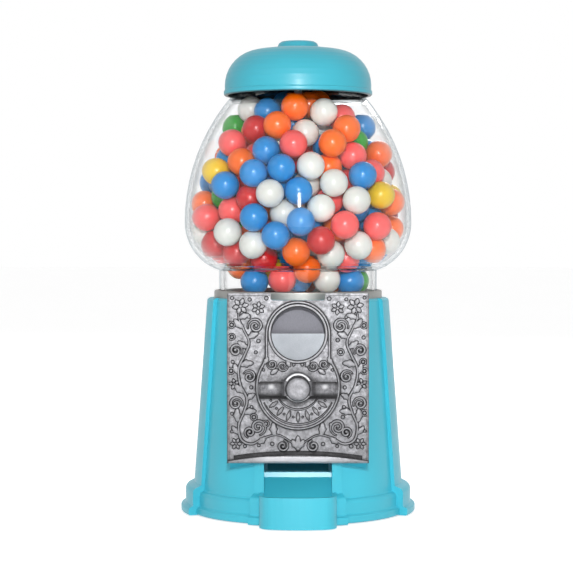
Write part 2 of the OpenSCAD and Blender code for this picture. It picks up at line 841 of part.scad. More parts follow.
module plate_screws() {
    inside = plate_y - body_wall;
    color(bare_metal) for (x = [-1, 1], z = frame_screw_z) {
        rod_y(screw_r - 0.1, x * frame_screw_x, z, plate_y + plate_t - 1.2, inside - 0.1);
        rod_y(screw_r + 1.3, x * frame_screw_x, z, inside - 0.02, inside - 1.9);
    }
}

// ---------------------------------------------------------------- mechanism

// The bar, hub and nose of the turning handle
module handle() {
    face = plate_y + plate_t + relief + gap;
    bar_back = face + handle_out - 9;
    nose = 3.4;
    color(pewter) difference() {
        union() {
            // Flange on the plate, with a rounded edge
            translate([0, -face, handle_z]) rotate([90, 0, 0]) rotate_extrude() polygon(concat(
                [[0, 0], [hub_r + 1.4, 0]], arc([hub_r + 0.4, 1.4], 1, 0, 90, 4), [[0, 2.4]]));
            rod_y(hub_r - 0.8, 0, handle_z, face + handle_out - nose, face);
            // Domed nose
            translate([0, -face - handle_out + nose, handle_z]) rotate([90, 0, 0]) rotate_extrude()
                polygon(concat([[0, -3], [hub_r - 1, -3], [hub_r, -1.4]],
                    arc([hub_r - nose + 0.4, 0], nose - 0.4, 0, 90, 8), [[0, nose - 0.4]]));
            // Bar with rounded ends that sweep forward
            intersection() {
                slab_y(face + handle_out, bar_back - 6) union() {
                    translate([-handle_w / 2 + 2, handle_z - handle_h / 2]) square([handle_w - 4, handle_h]);
                    for (s = [-1, 1], t = [-1, 1])
                        translate([s * (handle_w / 2 - 2), handle_z + t * (handle_h / 2 - 2)]) circle(r = 2);
                    translate([-handle_w / 2, handle_z - handle_h / 2 + 2]) square([handle_w, handle_h - 4]);
                }
                translate([0, 0, handle_z - handle_h]) linear_extrude(2 * handle_h) handle_sweep(bar_back);
            }
        }
        rod_y(shaft_r, 0, handle_z, face + 6, face - cut);
        // Grip ribs at the ends of the bar
        for (s = [-1, 1], k = [0:2]) translate([s * (handle_w / 2 - 1.4 - 1.5 * k), -bar_back - 6.1, handle_z - handle_h])
            rotate(45) translate([-0.5, -0.5, 0]) cube([1, 1, 2 * handle_h]);
    }
}

// Plan of the bar: thick at the hub, then a hollow sweep forward to the grips
module handle_sweep(back) {
    tip = handle_w / 2 + 1;
    side = [[tip, -back - 5.6], [tip * 0.8, -back - 5.4], [tip * 0.58, -back - 4.4], [tip * 0.42, -back - 4],
        [hub_r * 0.9, -back - 5.6]];
    rear = [[hub_r * 0.9, -back + 2.4], [tip * 0.45, -back + 0.2], [tip * 0.75, -back - 1], [tip, -back - 1.6]];
    half = concat(rear, side);
    polygon(concat(half, [for (i = [len(half) - 1:-1:0]) [-half[i][0], half[i][1]]]));
}

module drive_shaft() {
    color(bare_metal) rod_y(shaft_r, 0, handle_z, plate_y + plate_t + relief + gap + 6, gear_back - 0.4);
}

module shaft_screw() {
    color(bare_metal) union() {
        rod_y(5.6, 0, handle_z, gear_back - 0.45, gear_back - 1.4);
        rod_y(3.2, 0, handle_z, gear_back - 1.4, gear_back - 3.6);
    }
}

module coin_carrier() {
    seat_z = handle_z + shaft_r + 2.6 + coin_r;
    color(bare_metal) difference() {
        rod_y(carrier_r, 0, handle_z, shaft_y, carrier_y);
        rod_y(coin_r + 0.3, 0, seat_z, shaft_y + cut, carrier_y - cut);
        translate([-coin_r - 0.3, -shaft_y - cut, seat_z]) cube([2 * coin_r + 0.6, carrier_t + 2 * cut, carrier_r]);
        rod_y(shaft_r, 0, handle_z, shaft_y + cut, carrier_y - cut);
    }
}

// Gear with a hole, across Y
module gear_y(m, n, pa, add, ded, backlash, y0, y1, z, turn, bore) {
    difference() {
        translate([0, 0, z]) slab_y(y0, y1) rotate(turn) polygon(gear_outline(m, n, pa, add, ded, backlash));
        rod_y(bore, 0, z, y0 + cut, y1 - cut);
    }
}

module drive_gear() {
    color("ivory") gear_y(spur_module, spur_teeth, 20, spur_module, 1.2 * spur_module, spur_backlash,
        gear_y, gear_back, handle_z, 180 / spur_teeth, shaft_r);
}

module transfer_gear() {
    color("ivory") difference() {
        union() {
            gear_y(spur_module, spur_teeth, 20, spur_module, 1.2 * spur_module, spur_backlash,
                gear_y, gear_back, transfer_z, 0, 1);
            rod_y(5, 0, transfer_z, gear_back + 0.5, pinion_front - 0.5);
            gear_y(crown_module, pinion_teeth, 25, pinion_add, crown_add + tip_gap, crown_backlash,
                pinion_front, pinion_back, transfer_z, 0, 1);
        }
        rod_y(pin_r + fit, 0, transfer_z, gear_y + cut, pinion_back - cut);
    }
}

module transfer_pin() {
    color(bare_metal) rod_y(pin_r, 0, transfer_z, mech_y, pinion_back - 1);
}

module transfer_clip() {
    color(bare_metal) difference() {
        rod_y(3.6, 0, transfer_z, pinion_back - 0.25, pinion_back - 0.75);
        rod_y(pin_r, 0, transfer_z, pinion_back + cut, pinion_back - 2);
    }
}

standoff_x = 16.5;
standoff_z = handle_z + spur_rp;
pawl_at = [-26, handle_z - 17];
tail_angle = -25;
tail_len = 9;
pawl_tail = pawl_at + tail_len * [cos(tail_angle), sin(tail_angle)];
spring_low = mech_bottom + 3.3;

module mechanism_plate() {
    color(bare_metal) difference() {
        slab_y(mech_y, mech_back) difference() {
            translate([-mech_w / 2, mech_bottom]) square([mech_w, mech_top - mech_bottom]);
            translate([-coin_r - 1.8, mech_bottom - cut])
                square([2 * coin_r + 3.6, mech_notch_z - mech_bottom + cut]);
        }
        rod_y(shaft_r + fit, 0, handle_z, mech_y + cut, mech_back - cut);
        rod_y(pin_r, 0, transfer_z, mech_y + cut, mech_back - cut);
        rod_y(1.5, pawl_at[0], pawl_at[1], mech_y + cut, mech_back - cut);
        for (x = [-1, 1]) rod_y(1.3, x * standoff_x, standoff_z, mech_y + cut, mech_back - cut);
        for (x = [-1, 1], z = mech_screw_z) rod_y(1.3, x * mech_screw_x, z, mech_y + cut, mech_back - cut);
    }
}

mech_screw_x = mech_w / 2 - 3;
mech_screw_z = [mech_bottom + 3.5, mech_top - 3.5];

// Screws with spacers that hang the mechanism plate on the front plate
module mechanism_screws() {
    color(bare_metal) for (x = [-1, 1], z = mech_screw_z) {
        rod_y(2.4, x * mech_screw_x, z, plate_y - 0.02, mech_y + 0.02);
        rod_y(1.25, x * mech_screw_x, z, mech_y + 0.02, mech_back);
        rod_y(2.6, x * mech_screw_x, z, mech_back - 0.02, mech_back - 1.5);
    }
}

// Lever whose nose rides on the carrier's edge
module coin_pawl() {
    to_axis = [-pawl_at[0], handle_z - pawl_at[1]];
    reach = norm(to_axis) - carrier_r - gap;
    aim = atan2(to_axis[1], to_axis[0]);
    nose_r = 1.6;
    color(bare_metal) difference() {
        slab_y(shaft_y - 0.2, carrier_y + 0.2) union() {
            translate(pawl_at) circle(r = 3.2);
            translate(pawl_at) rotate(aim) translate([0, -nose_r]) square([reach - nose_r, 2 * nose_r]);
            translate(pawl_at) rotate(aim) translate([reach - nose_r, 0]) circle(r = nose_r);
            translate(pawl_at) rotate(tail_angle) translate([0, -1.4]) square([tail_len, 2.8]);
            translate(pawl_tail) circle(r = 1.4);
        }
        rod_y(1.55, pawl_at[0], pawl_at[1], shaft_y + cut, carrier_y - cut);
    }
}

// Pivot of the pawl, and the small post that holds the spring's lower end
module pawl_pin() {
    color(bare_metal) union() {
        rod_y(1.5, pawl_at[0], pawl_at[1], shaft_y, mech_back);
        rod_y(0.8, pawl_tail[0], spring_low - 0.85, shaft_y, mech_y);
    }
}

// Coil spring between the post and the pawl's tail
module pawl_spring() {
    turns = 7;
    steps = 18;
    sides = 6;
    coil_r = 1;
    wire = 0.25;
    low = spring_low + wire;
    high = pawl_tail[1] - 1.4 - wire - 0.05;
    n = turns * steps;
    rings = [for (i = [0:n]) let (a = 360 * i / steps, z = low + (high - low) * i / n)
        for (k = [0:sides - 1]) let (b = 360 * k / sides, r = coil_r + wire * cos(b))
            [r * cos(a), r * sin(a), z + wire * sin(b)]];
    faces = concat(
        [[for (k = [0:sides - 1]) k]],
        [[for (k = [sides - 1:-1:0]) n * sides + k]],
        [for (i = [0:n - 1], k = [0:sides - 1]) let (a = i * sides, b = a + sides, m = (k + 1) % sides)
            [a + k, b + k, b + m, a + m]]);
    color(bare_metal) translate([pawl_tail[0], -(shaft_y + carrier_y) / 2, 0])
        polyhedron(points = rings, faces = faces);
}

// ---------------------------------------------------------------- chute

// Side view of the passage: the back wall's line, 'out' behind its inner face
function slide_line(out) = concat(
    [[-chute_back_y + out, chute_top], [-chute_back_y + out, chute_bend_z]],
    arc([-chute_back_y - chute_arc, chute_bend_z], chute_arc + out, -chute_turn / 8, -chute_turn, 7));

chute_front_y = roof_back_y - gap;            // front face of the chute
chute_front_z = roof_back_z + 2;              // lower edge of its front wall

module candy_chute() {
    line_in = slide_line(0);
    line_out = slide_line(chute_wall);
    back = concat(line_out, [for (i = [len(line_in) - 1:-1:0]) line_in[i]]);
    side = concat(line_out, [[-ramp_back_y + gap, ramp_back_z + 0.4], [-chute_front_y, ramp_back_z + 0.4],
        [-chute_front_y, chute_top]]);
    color(dark_plastic) difference() {
        union() {
            slab_x(chute_w) polygon(back);
            for (s = [-1, 1]) translate([s * (chute_w - chute_wall) / 2, 0, 0]) slab_x(chute_wall) polygon(side);
            translate([-chute_w / 2, -chute_front_y, chute_front_z])
                cube([chute_w, chute_wall, chute_top - chute_front_z]);
        }
        translate([-cup_w, -ramp_back_y + gap - 3, 0]) cube([2 * cup_w, 3, ramp_back_z + 0.4]);
        for (x = [-1, 1])
            rod_y(1.3, x * standoff_x, standoff_z, chute_front_y + cut, chute_front_y - chute_wall - cut);
    }
}

module chute_standoffs() {
    color(bare_metal) for (x = [-1, 1]) {
        rod_y(2.5, x * standoff_x, standoff_z, mech_back - 0.02, chute_front_y + 0.02);
        rod_y(1.25, x * standoff_x, standoff_z, mech_y, mech_back - 0.02);
        rod_y(1.25, x * standoff_x, standoff_z, chute_front_y + 0.02, chute_front_y - chute_wall - 1);
    }
}

// ---------------------------------------------------------------- gumballs

// The globe is filled from the bottom: each gumball takes the lowest of several random places
// and then rolls downhill until it is held.
low_arc_c = globe_r - globe_low_arc;
low_arc_r = globe_low_arc - glass_t - ball_reach;
high_arc_c = globe_r - globe_high_arc;
high_arc_r = globe_high_arc - glass_t - ball_reach;
neck_free = neck_in - ball_reach;
mouth_free = mouth_r - glass_t - ball_reach;
fill_r = low_arc_c + low_arc_r - 0.2;
neck_edge_z = waist_z - sqrt(pow(globe_low_arc - glass_t, 2) - pow(neck_in - low_arc_c, 2));
edge_until = low_arc_c + low_arc_r * (neck_in - low_arc_c) / (globe_low_arc - glass_t);
fill_top = mouth_z - 12;
tries = 26;
memory = 120;                                 // how many of the last gumballs can be touched
luck = rands(0, 1, 3 * tries * (ball_count + 1), fill_seed);

// Lowest height of a centre over the wheel, the guard or the glass
function support_z(p, r) =
    r <= neck_free ? (over_guard(p, r) ? floor_guard : floor_low)
    : r <= edge_until ? neck_edge_z + sqrt(max(0, ball_reach * ball_reach - pow(neck_in - r, 2)))
    : waist_z - sqrt(max(0, low_arc_r * low_arc_r - pow(r - low_arc_c, 2)));

function over_guard(p, r) = r < 8 + ball_reach ||
    (p[1] < 0 && abs(p[0]) < -p[1] * tan(guard_half_angle) + ball_reach / cos(guard_half_angle) + 1);

// Highest place of a centre under the glass
function roof_z(r) = r < mouth_free ? 1000
    : waist_z + sqrt(max(0, high_arc_r * high_arc_r - pow(r - high_arc_c, 2)));

function over_balls(p, balls, i, z) = i >= len(balls) ? z :
    let (b = balls[i], q = cell * cell - pow(p[0] - b[0], 2) - pow(p[1] - b[1], 2))
    over_balls(p, balls, i + 1, q > 0 ? max(z, b[2] + sqrt(q)) : z);

function settle(p, balls) = let (r = norm(p))
    r < rod_r + ball_reach || r > fill_r ? [p[0], p[1], 999]
    : let (z = over_balls(p, balls, 0, support_z(p, r))) [p[0], p[1], z > roof_z(r) ? 999 : z];

function lowest(list, i = 0, b = [0, 0, 999]) =
    i >= len(list) ? b : lowest(list, i + 1, list[i][2] < b[2] ? list[i] : b);

function roll(b, balls, step) = step < 0.3 ? b :
    let (c = lowest([b, for (a = [0:60:300]) settle([b[0] + step * cos(a), b[1] + step * sin(a)], balls)]))
    roll(c, balls, c[2] < b[2] - 0.001 ? step : step / 2);

function last_of(balls) = len(balls) <= memory ? balls
    : [for (i = [len(balls) - memory:len(balls) - 1]) balls[i]];

function pour(n, balls) = n == 0 ? balls :
    let (k = 3 * tries * n, near = last_of(balls),
         places = [for (j = [0:tries - 1]) let (r = fill_r * pow(luck[k + 2 * j], 0.42), a = 360 * luck[k + 2 * j + 1])
             settle([r * cos(a), r * sin(a)], near)],
         b = roll(lowest(places), near, 6))
    pour(n - 1, b[2] > fill_top ? balls : concat(balls, [b]));

// Shares of the colours, and the tint of each
tints = [[0.93, 0.92, 0.88], [0.16, 0.52, 0.85], [1.00, 0.45, 0.10], [0.98, 0.42, 0.44],
    [0.80, 0.12, 0.14], [0.95, 0.80, 0.10], [0.18, 0.62, 0.22]];
shares = [0.23, 0.44, 0.63, 0.77, 0.88, 0.96, 1];

function tint_of(i) = let (v = luck[3 * i + 1]) [for (k = [0:6]) if (v <= shares[k]) k][0];

module gumballs(tint) {
    balls = pour(ball_count, []);
    color(tints[tint]) for (i = [0:len(balls) - 1]) if (tint_of(i) == tint)
        translate(balls[i]) sphere(r = ball_r, $fn = 40);
}

module wheel_gumballs() {
    color(tints[1]) for (k = [1:pockets - 1]) rotate(-90 + 360 * k / pockets)
        translate([pocket_ring_r, 0, floor_top + ball_r + 0.15]) sphere(r = ball_r, $fn = 40);
}

// ---------------------------------------------------------------- nodes

body();
base_plate();
base_pad();
coin_plug();
wing_nut();
rod_washer();
center_rod();
hopper_floor();
candy_wheel();
wheel_guard();
guard_nut();
globe_collar();
globe_gasket();
globe();
lid();
lid_insert();
front_plate();
coin_slot_plate();
plate_screws();
handle();
drive_shaft();
shaft_screw();
coin_carrier();
drive_gear();
mechanism_plate();
mechanism_screws();
transfer_gear();
transfer_pin();
transfer_clip();
coin_pawl();
pawl_pin();
pawl_spring();
candy_chute();
chute_standoffs();
gumballs(0);  // gumballs_white
gumballs(1);  // gumballs_blue
gumballs(2);  // gumballs_orange
gumballs(3);  // gumballs_pink
gumballs(4);  // gumballs_red
gumballs(5);  // gumballs_yellow
gumballs(6);  // gumballs_green
wheel_gumballs();
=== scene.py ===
import bpy, bmesh, json, random
from math import asin, cos, pi, radians, sin
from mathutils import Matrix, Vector


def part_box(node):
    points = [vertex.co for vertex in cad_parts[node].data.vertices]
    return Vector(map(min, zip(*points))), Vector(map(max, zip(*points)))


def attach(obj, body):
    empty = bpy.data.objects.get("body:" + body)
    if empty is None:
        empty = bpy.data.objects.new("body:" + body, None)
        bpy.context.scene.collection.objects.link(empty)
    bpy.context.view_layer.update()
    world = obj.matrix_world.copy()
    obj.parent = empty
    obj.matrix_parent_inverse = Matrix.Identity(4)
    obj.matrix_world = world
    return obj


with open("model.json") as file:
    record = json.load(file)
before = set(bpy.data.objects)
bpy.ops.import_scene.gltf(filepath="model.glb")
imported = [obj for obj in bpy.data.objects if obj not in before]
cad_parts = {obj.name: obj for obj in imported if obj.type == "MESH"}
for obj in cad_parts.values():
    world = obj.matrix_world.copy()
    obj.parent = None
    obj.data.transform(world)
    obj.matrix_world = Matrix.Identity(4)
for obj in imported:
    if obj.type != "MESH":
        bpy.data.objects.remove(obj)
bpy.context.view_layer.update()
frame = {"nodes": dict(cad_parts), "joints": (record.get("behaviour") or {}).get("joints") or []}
nodes = frame["nodes"]
MM = 0.001


# ------------------------------------------------------------ places, in mm
def edge_of(box, side, axis):
    """Place of a box's lower (0) or upper (1) edge along X (0), Y (1) or Z (2)."""
    return round(box[side][axis] / MM, 3)


def joint_place(name, axis):
    """Place of a joint along X (0), Y (1) or Z (2)."""
    return round(next(j for j in frame["joints"] if j["name"] == name)["pos_m"][axis] / MM, 3)


RELIEF_H = 0.9        # height of the keyhole shield above the plate
# Front face of the plate, which the coin slot's plate is flush with
FACE = edge_of(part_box("coin_slot_plate"), 0, 1)
SHIELD = FACE - RELIEF_H
PLATE_FOOT = edge_of(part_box("front_plate"), 0, 2)
PLATE_SIDE = edge_of(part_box("front_plate"), 1, 0)
WINDOW_Z = edge_of(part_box("coin_slot_plate"), 1, 2)
HANDLE_Z = joint_place("handle_turn", 2)
HANDLE_FRONT = edge_of(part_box("handle"), 0, 1)
HANDLE_BACK = edge_of(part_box("handle"), 1, 1)
BAR_END = edge_of(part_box("handle"), 1, 0)
HUB_R = 7.0           # radius of the handle's hub
UNDER_LID = edge_of(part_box("lid"), 0, 2)
MOUTH_Z = edge_of(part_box("globe"), 1, 2)


# ------------------------------------------------------------ materials
class Graph:
    """Node tree of a material or a world, built up node by node."""

    def __init__(self, owner, output):
        owner.use_nodes = True
        self.owner = owner
        self.tree = owner.node_tree
        self.tree.nodes.clear()
        self.out = self.add(output)

    def feed(self, socket, value):
        """Links a socket to an output, or sets it to a constant."""
        if isinstance(value, bpy.types.NodeSocket):
            self.tree.links.new(value, socket)
        elif socket.type == "RGBA":
            socket.default_value = (*value, 1.0)
        else:
            socket.default_value = value

    def add(self, kind, **values):
        n = self.tree.nodes.new(kind)
        for key, value in values.items():
            label = key.replace("_", " ")
            if label in n.inputs:
                self.feed(n.inputs[label], value)
            else:
                setattr(n, key, value)
        return n

    def calc(self, op, a, b):
        n = self.add("ShaderNodeMath", operation=op)
        self.feed(n.inputs[0], a)
        self.feed(n.inputs[1], b)
        return n.outputs[0]

    def times(self, a, b):
        return self.calc("MULTIPLY", a, b)

    def vector(self, op, a, b=None):
        n = self.add("ShaderNodeVectorMath", operation=op)
        self.feed(n.inputs[0], a)
        if b is not None:
            self.feed(n.inputs[1], b)
        return n.outputs["Value" if op in ("DOT_PRODUCT", "LENGTH") else "Vector"]

    def axes(self, vector):
        split = self.add("ShaderNodeSeparateXYZ", Vector=vector)
        return split.outputs["X"], split.outputs["Y"], split.outputs["Z"]

    def mix(self, fac, a, b):
        """Colour a where fac is 0, colour b where it is 1."""
        n = self.add("ShaderNodeMix", data_type="RGBA")
        self.feed(n.inputs[0], fac)
        self.feed(n.inputs[6], a)
        self.feed(n.inputs[7], b)
        return n.outputs[2]

    def blend(self, fac, a, b):
        """Shader a where fac is 0, shader b where it is 1."""
        n = self.add("ShaderNodeMixShader")
        self.feed(n.inputs[0], fac)
        self.feed(n.inputs[1], a.outputs[0])
        self.feed(n.inputs[2], b.outputs[0])
        return n

    def remap(self, value, a, b, c=0.0, d=1.0, kind="LINEAR"):
        """c where the value is a, d where it is b."""
        return self.add("ShaderNodeMapRange", interpolation_type=kind, Value=value, From_Min=a, From_Max=b,
                        To_Min=c, To_Max=d).outputs["Result"]

    def fade(self, value, a, b, c=0.0, d=1.0):
        return self.remap(value, a, b, c, d, "SMOOTHSTEP")

    def fade_mm(self, length, a, b, c=0.0, d=1.0):
        """A fade along a length, with a and b in mm."""
        return self.fade(length, a * MM, b * MM, c, d)

    def between(self, length, a, b, c, d, most=1.0):
        """most from b to c, and 0 below a and above d, all in mm."""
        return self.times(self.fade_mm(length, a, b, 0.0, most), self.fade_mm(length, c, d, 1.0, 0.0))

    def distance(self, length, middle):
        """How far a place is from the middle, which is in mm."""
        return self.calc("ABSOLUTE", self.calc("SUBTRACT", length, middle * MM), 0.0)

    def light_seen(self):
        """1 for rays that show what they hit, 0 for those that only carry light."""
        path = self.add("ShaderNodeLightPath").outputs
        straight = self.calc("MAXIMUM", path["Is Camera Ray"], path["Is Glossy Ray"])
        return self.calc("MAXIMUM", straight, path["Is Transmission Ray"])

    def done(self, shader):
        self.feed(self.out.inputs["Surface"], shader.outputs[0])
        return self.owner


class Surface(Graph):
    """A material on the object's own coordinates."""

    def __init__(self, name):
        super().__init__(bpy.data.materials.new(name), "ShaderNodeOutputMaterial")
        self.pos = self.add("ShaderNodeTexCoord").outputs["Object"]
        self.x, self.y, self.z = self.axes(self.pos)

    def stretch(self, scale):
        return self.add("ShaderNodeMapping", Vector=self.pos, Scale=scale).outputs[0]

    def noise(self, scale, detail, rough=0.5, at=None):
        return self.add("ShaderNodeTexNoise", Vector=at or self.pos, Scale=scale, Detail=detail,
                        Roughness=rough).outputs["Fac"]

    def cells(self, scale):
        return self.add("ShaderNodeTexVoronoi", Vector=self.pos, Scale=scale).outputs["Distance"]

    def hollows(self, reach):
        """1 on open faces, towards 0 in corners narrower than the reach in mm."""
        return self.add("ShaderNodeAmbientOcclusion", samples=8, Distance=reach * MM).outputs["AO"]

    def bump(self, height, depth, strength, under=None):
        """Small relief with its depth in mm, on top of the one under it."""
        n = self.add("ShaderNodeBump", Height=height, Distance=depth * MM, Strength=strength)
        if under is not None:
            self.feed(n.inputs["Normal"], under)
        return n.outputs[0]

    def principled(self, colour, rough, metal, normal, **values):
        return self.add("ShaderNodeBsdfPrincipled", Base_Color=colour, Roughness=rough, Metallic=metal,
                        Normal=normal, **values)

    def see_through(self, colour):
        return self.add("ShaderNodeBsdfTransparent", Color=colour)


def srgb(*colour):
    """Linear colour of an 8-bit one."""
    parts = [c / 255 for c in colour]
    return tuple(c / 12.92 if c <= 0.04045 else ((c + 0.055) / 1.055) ** 2.4 for c in parts)


def shade(colour, k):
    return tuple(min(1.0, c * k) for c in colour)


def paint(name, colour, inner_shade=None):
    """Gloss paint; the third argument is a painted shade colour for faces that look down or towards the
    vertical axis.
    """
    g = Surface(name)
    base = g.mix(g.remap(g.noise(14, 3), 0.35, 0.7), shade(colour, 0.93), shade(colour, 1.06))
    speck = g.calc("SUBTRACT", 1.0, g.remap(g.cells(420), 0.02, 0.10))
    base = g.mix(g.times(g.remap(g.noise(60, 1), 0.62, 0.66), speck), base, shade(colour, 0.7))
    # Painted shade: faces that look down or inwards take the darker colour
    if inner_shade:
        normal = g.add("ShaderNodeNewGeometry").outputs["Normal"]
        outward = g.vector("DOT_PRODUCT", g.vector("MULTIPLY", g.pos, (1, 1, 0)), normal)
        inward = g.remap(outward, -0.5 * MM, 0.0, 1.0, 0.0)
        down = g.remap(g.axes(normal)[2], -0.9, -0.3, 1.0, 0.0)
        base = g.mix(g.calc("MAXIMUM", inward, down), base, inner_shade)
    orange_peel = g.bump(g.noise(420, 1.5), 0.06, 0.35, g.bump(g.noise(90, 1), 0.2, 0.25))
    rough = g.remap(g.noise(30, 4), 0.3, 0.7, 0.36, 0.46)
    return g.done(g.principled(base, rough, 0.0, orange_peel, Coat_Weight=0.12, Coat_Roughness=0.2, IOR=1.5))


# Dark patina in the castings' hollows, also used for painted shade and shadow
PATINA_AND_SHADE = srgb(24, 23, 25)
# Painted highlights on the plate's lip, on the handle's wings and on the handle's flange
LIP_HIGHLIGHT = srgb(182, 182, 186)
WING_GLINT = srgb(226, 226, 229)
FLANGE_HIGHLIGHT = srgb(216, 216, 219)
SHADED_FOOT, SHADED_TOP = 35, 128      # heights between which the castings turn brighter


def pewter(name, base, tops=None, rise=(), sunk=None, painted_light=None, painted_highlight=None):
    """Antiqued casting: a grey field with patina in tight corners, and painted shade in wider ones and low
    down.

    The colour tops covers what rises along Y from the first place in rise to the second, and faces behind
    sunk are dark. The last two are functions that add painted light and shade before and after the corners.
    """
    g = Surface(name)
    grain = g.remap(g.noise(430, 5, 0.75), 0.34, 0.66)
    cloud = g.remap(g.noise(60, 4, 0.6), 0.36, 0.66)
    field = g.mix(grain, shade(base, 0.46), shade(base, 1.5))
    field = g.mix(g.times(cloud, 0.34), field, shade(base, 0.5))
    if tops:
        field = g.mix(g.times(g.fade_mm(g.y, *rise), g.remap(grain, 0.0, 1.0, 0.62, 1.0)), field, tops)
    # Painted shade: the castings turn darker towards the bottom
    low = g.remap(g.z, SHADED_FOOT * MM, SHADED_TOP * MM, 0.36, 0.0)
    field = g.mix(low, field, shade(base, 0.4))
    if painted_light:
        field = painted_light(g, field)
    if sunk:
        field = g.mix(g.fade_mm(g.y, sunk, sunk + 0.6, 0.0, 0.62), field, PATINA_AND_SHADE)
    # Dark in corners: patina within 0.9 mm, and painted shade within 7 mm, such as under the handle's bar
    for reach, closed, free, most in ((0.9, 0.35, 0.86, 0.8), (7.0, 0.50, 0.98, 0.88)):
        field = g.mix(g.fade(g.hollows(reach), closed, free, most, 0.0), field, PATINA_AND_SHADE)
    if painted_highlight:
        field = painted_highlight(g, field)
    cast_skin = g.bump(g.noise(900, 3, 0.6), 0.18, 0.7, g.bump(g.noise(210, 2), 1.0, 0.6))
    return g.done(g.principled(field, g.remap(grain, 0.0, 1.0, 0.54, 0.40), 0.45, cast_skin))


def plate_painted_light(g, field):
    """Painted highlight on the lower lip, painted shade along the side edges and painted shadow under the
    handle's bar.
    """
    side = g.distance(g.x, 0)
    # Painted highlight along the lower lip, brightest in the middle
    highlit_lip = g.fade_mm(g.z, PLATE_FOOT + 3.2, PLATE_FOOT + 4.2, 1.0, 0.0)
    field = g.mix(g.times(highlit_lip, g.fade_mm(side, 8, 34, 1.0, 0.15)), field, LIP_HIGHLIGHT)
    # Painted shade along the plate's side edges
    field = g.mix(g.fade_mm(side, PLATE_SIDE - 1.1, PLATE_SIDE - 0.4, 0.0, 0.7), field, PATINA_AND_SHADE)
    # Painted shadow of the handle's bar on the plate under it
    bar_shadow = g.between(g.z, HANDLE_Z - 7.0, HANDLE_Z - 6.2, HANDLE_Z - 3.8, HANDLE_Z - 3.0, 0.95)
    along_bar = g.fade_mm(side, BAR_END - 1.3, BAR_END + 0.1, 1.0, 0.0)
    return g.mix(g.times(bar_shadow, along_bar), field, PATINA_AND_SHADE)


def hub_distance(g):
    """Distance of a point on the handle from the handle's axis."""
    flat = g.add("ShaderNodeCombineXYZ", X=g.distance(g.x, 0), Z=g.distance(g.z, HANDLE_Z))
    return g.vector("LENGTH", flat.outputs[0])


def knob_painted_light(g, field):
    """Painted shade on the bar's edges and ends and in a ring around the hub, and a painted highlight on each
    wing.
    """
    side = g.distance(g.x, 0)
    # Painted shade along the bar's top and bottom edges, beside the hub and in a ring around it
    off_axis = g.fade_mm(g.distance(g.z, HANDLE_Z), 1.4, 3.7, 0.0, 0.95)
    edge = g.times(off_axis, g.fade_mm(side, HUB_R + 0.5, HUB_R + 2.5))
    beside_hub = g.between(side, HUB_R + 0.2, HUB_R + 0.8, HUB_R + 1.5, HUB_R + 7.0, 0.7)
    ring = g.between(hub_distance(g), HUB_R - 1.0, HUB_R - 0.3, HUB_R - 0.1, HUB_R + 0.4, 0.9)
    for dark in (edge, beside_hub, ring):
        field = g.mix(dark, field, PATINA_AND_SHADE)
    # Painted highlight on each wing
    glint_spot = g.times(g.fade_mm(g.distance(side, 15.0), 0.2, 2.4, 0.6, 0.0),
                   g.fade_mm(g.distance(g.z, HANDLE_Z + 1.2), 0.2, 2.0, 1.0, 0.0))
    field = g.mix(glint_spot, field, WING_GLINT)
    # Painted shade towards the bar's ends
    return g.mix(g.fade_mm(side, BAR_END - 5.5, BAR_END - 0.3, 0.0, 0.55), field, PATINA_AND_SHADE)


def paint_flange_highlight(g, field):
    """Painted highlight on the flange behind the hub."""
    flange = g.between(hub_distance(g), HUB_R - 0.2, HUB_R + 0.2, HUB_R + 0.8, HUB_R + 1.2)
    behind = g.remap(g.y, (HANDLE_BACK - 4.2) * MM, (HANDLE_BACK - 3.2) * MM)
    return g.mix(g.times(flange, behind), field, FLANGE_HIGHLIGHT)


def bare(name, colour, rough, grain):
    """Brushed or plated metal; grain is how much its lines are stretched along each axis."""
    g = Surface(name)
    lines = g.noise(900, 3, 0.6, g.stretch(grain))
    base = g.mix(g.remap(lines, 0.3, 0.7), shade(colour, 0.86), shade(colour, 1.08))
    dull = g.remap(g.noise(45, 3), 0.4, 0.7)
    base = g.mix(g.times(dull, 0.35), base, shade(colour, 0.7))
    uneven = g.remap(dull, 0.0, 1.0, rough, rough + 0.14)
    return g.done(g.principled(base, uneven, 1.0, g.bump(lines, 0.04, 0.4)))


def plastic(name, colour, rough):
    g = Surface(name)
    base = g.mix(g.remap(g.noise(40, 3), 0.35, 0.7), shade(colour, 0.9), shade(colour, 1.1))
    patchy = g.remap(g.noise(80, 2), 0.3, 0.7, rough - 0.05, rough + 0.08)
    return g.done(g.principled(base, patchy, 0.0, g.bump(g.noise(1400, 2), 0.05, 0.4)))


def rubber(name):
    g = Surface(name)
    dust = g.remap(g.noise(120, 5, 0.7), 0.5, 0.75)
    base = g.mix(dust, (0.012, 0.012, 0.013), (0.05, 0.048, 0.045))
    return g.done(g.principled(base, 0.78, 0.0, g.bump(g.noise(700, 2), 0.1, 0.5)))


def candy(name, colour):
    """A hard sugar shell: even colour, slightly lumpy, with a soft polish."""
    g = Surface(name)
    base = g.mix(g.remap(g.noise(38, 1), 0.3, 0.7), shade(colour, 0.9), shade(colour, 1.08))
    mottle = g.remap(g.noise(700, 3, 0.6), 0.55, 0.8)
    base = g.mix(g.times(mottle, 0.14), base, tuple(c * 0.8 + 0.12 for c in colour))
    lumps = g.bump(g.noise(95, 2), 0.9, 0.35, g.bump(g.noise(520, 2), 0.1, 0.3))
    shell = g.principled(base, 0.42, 0.0, lumps, Coat_Weight=0.9, Coat_Roughness=0.28, Specular_IOR_Level=0.0,
                         Subsurface_Weight=0.05, Subsurface_Scale=2 * MM, IOR=1.46)
    return g.done(shell)


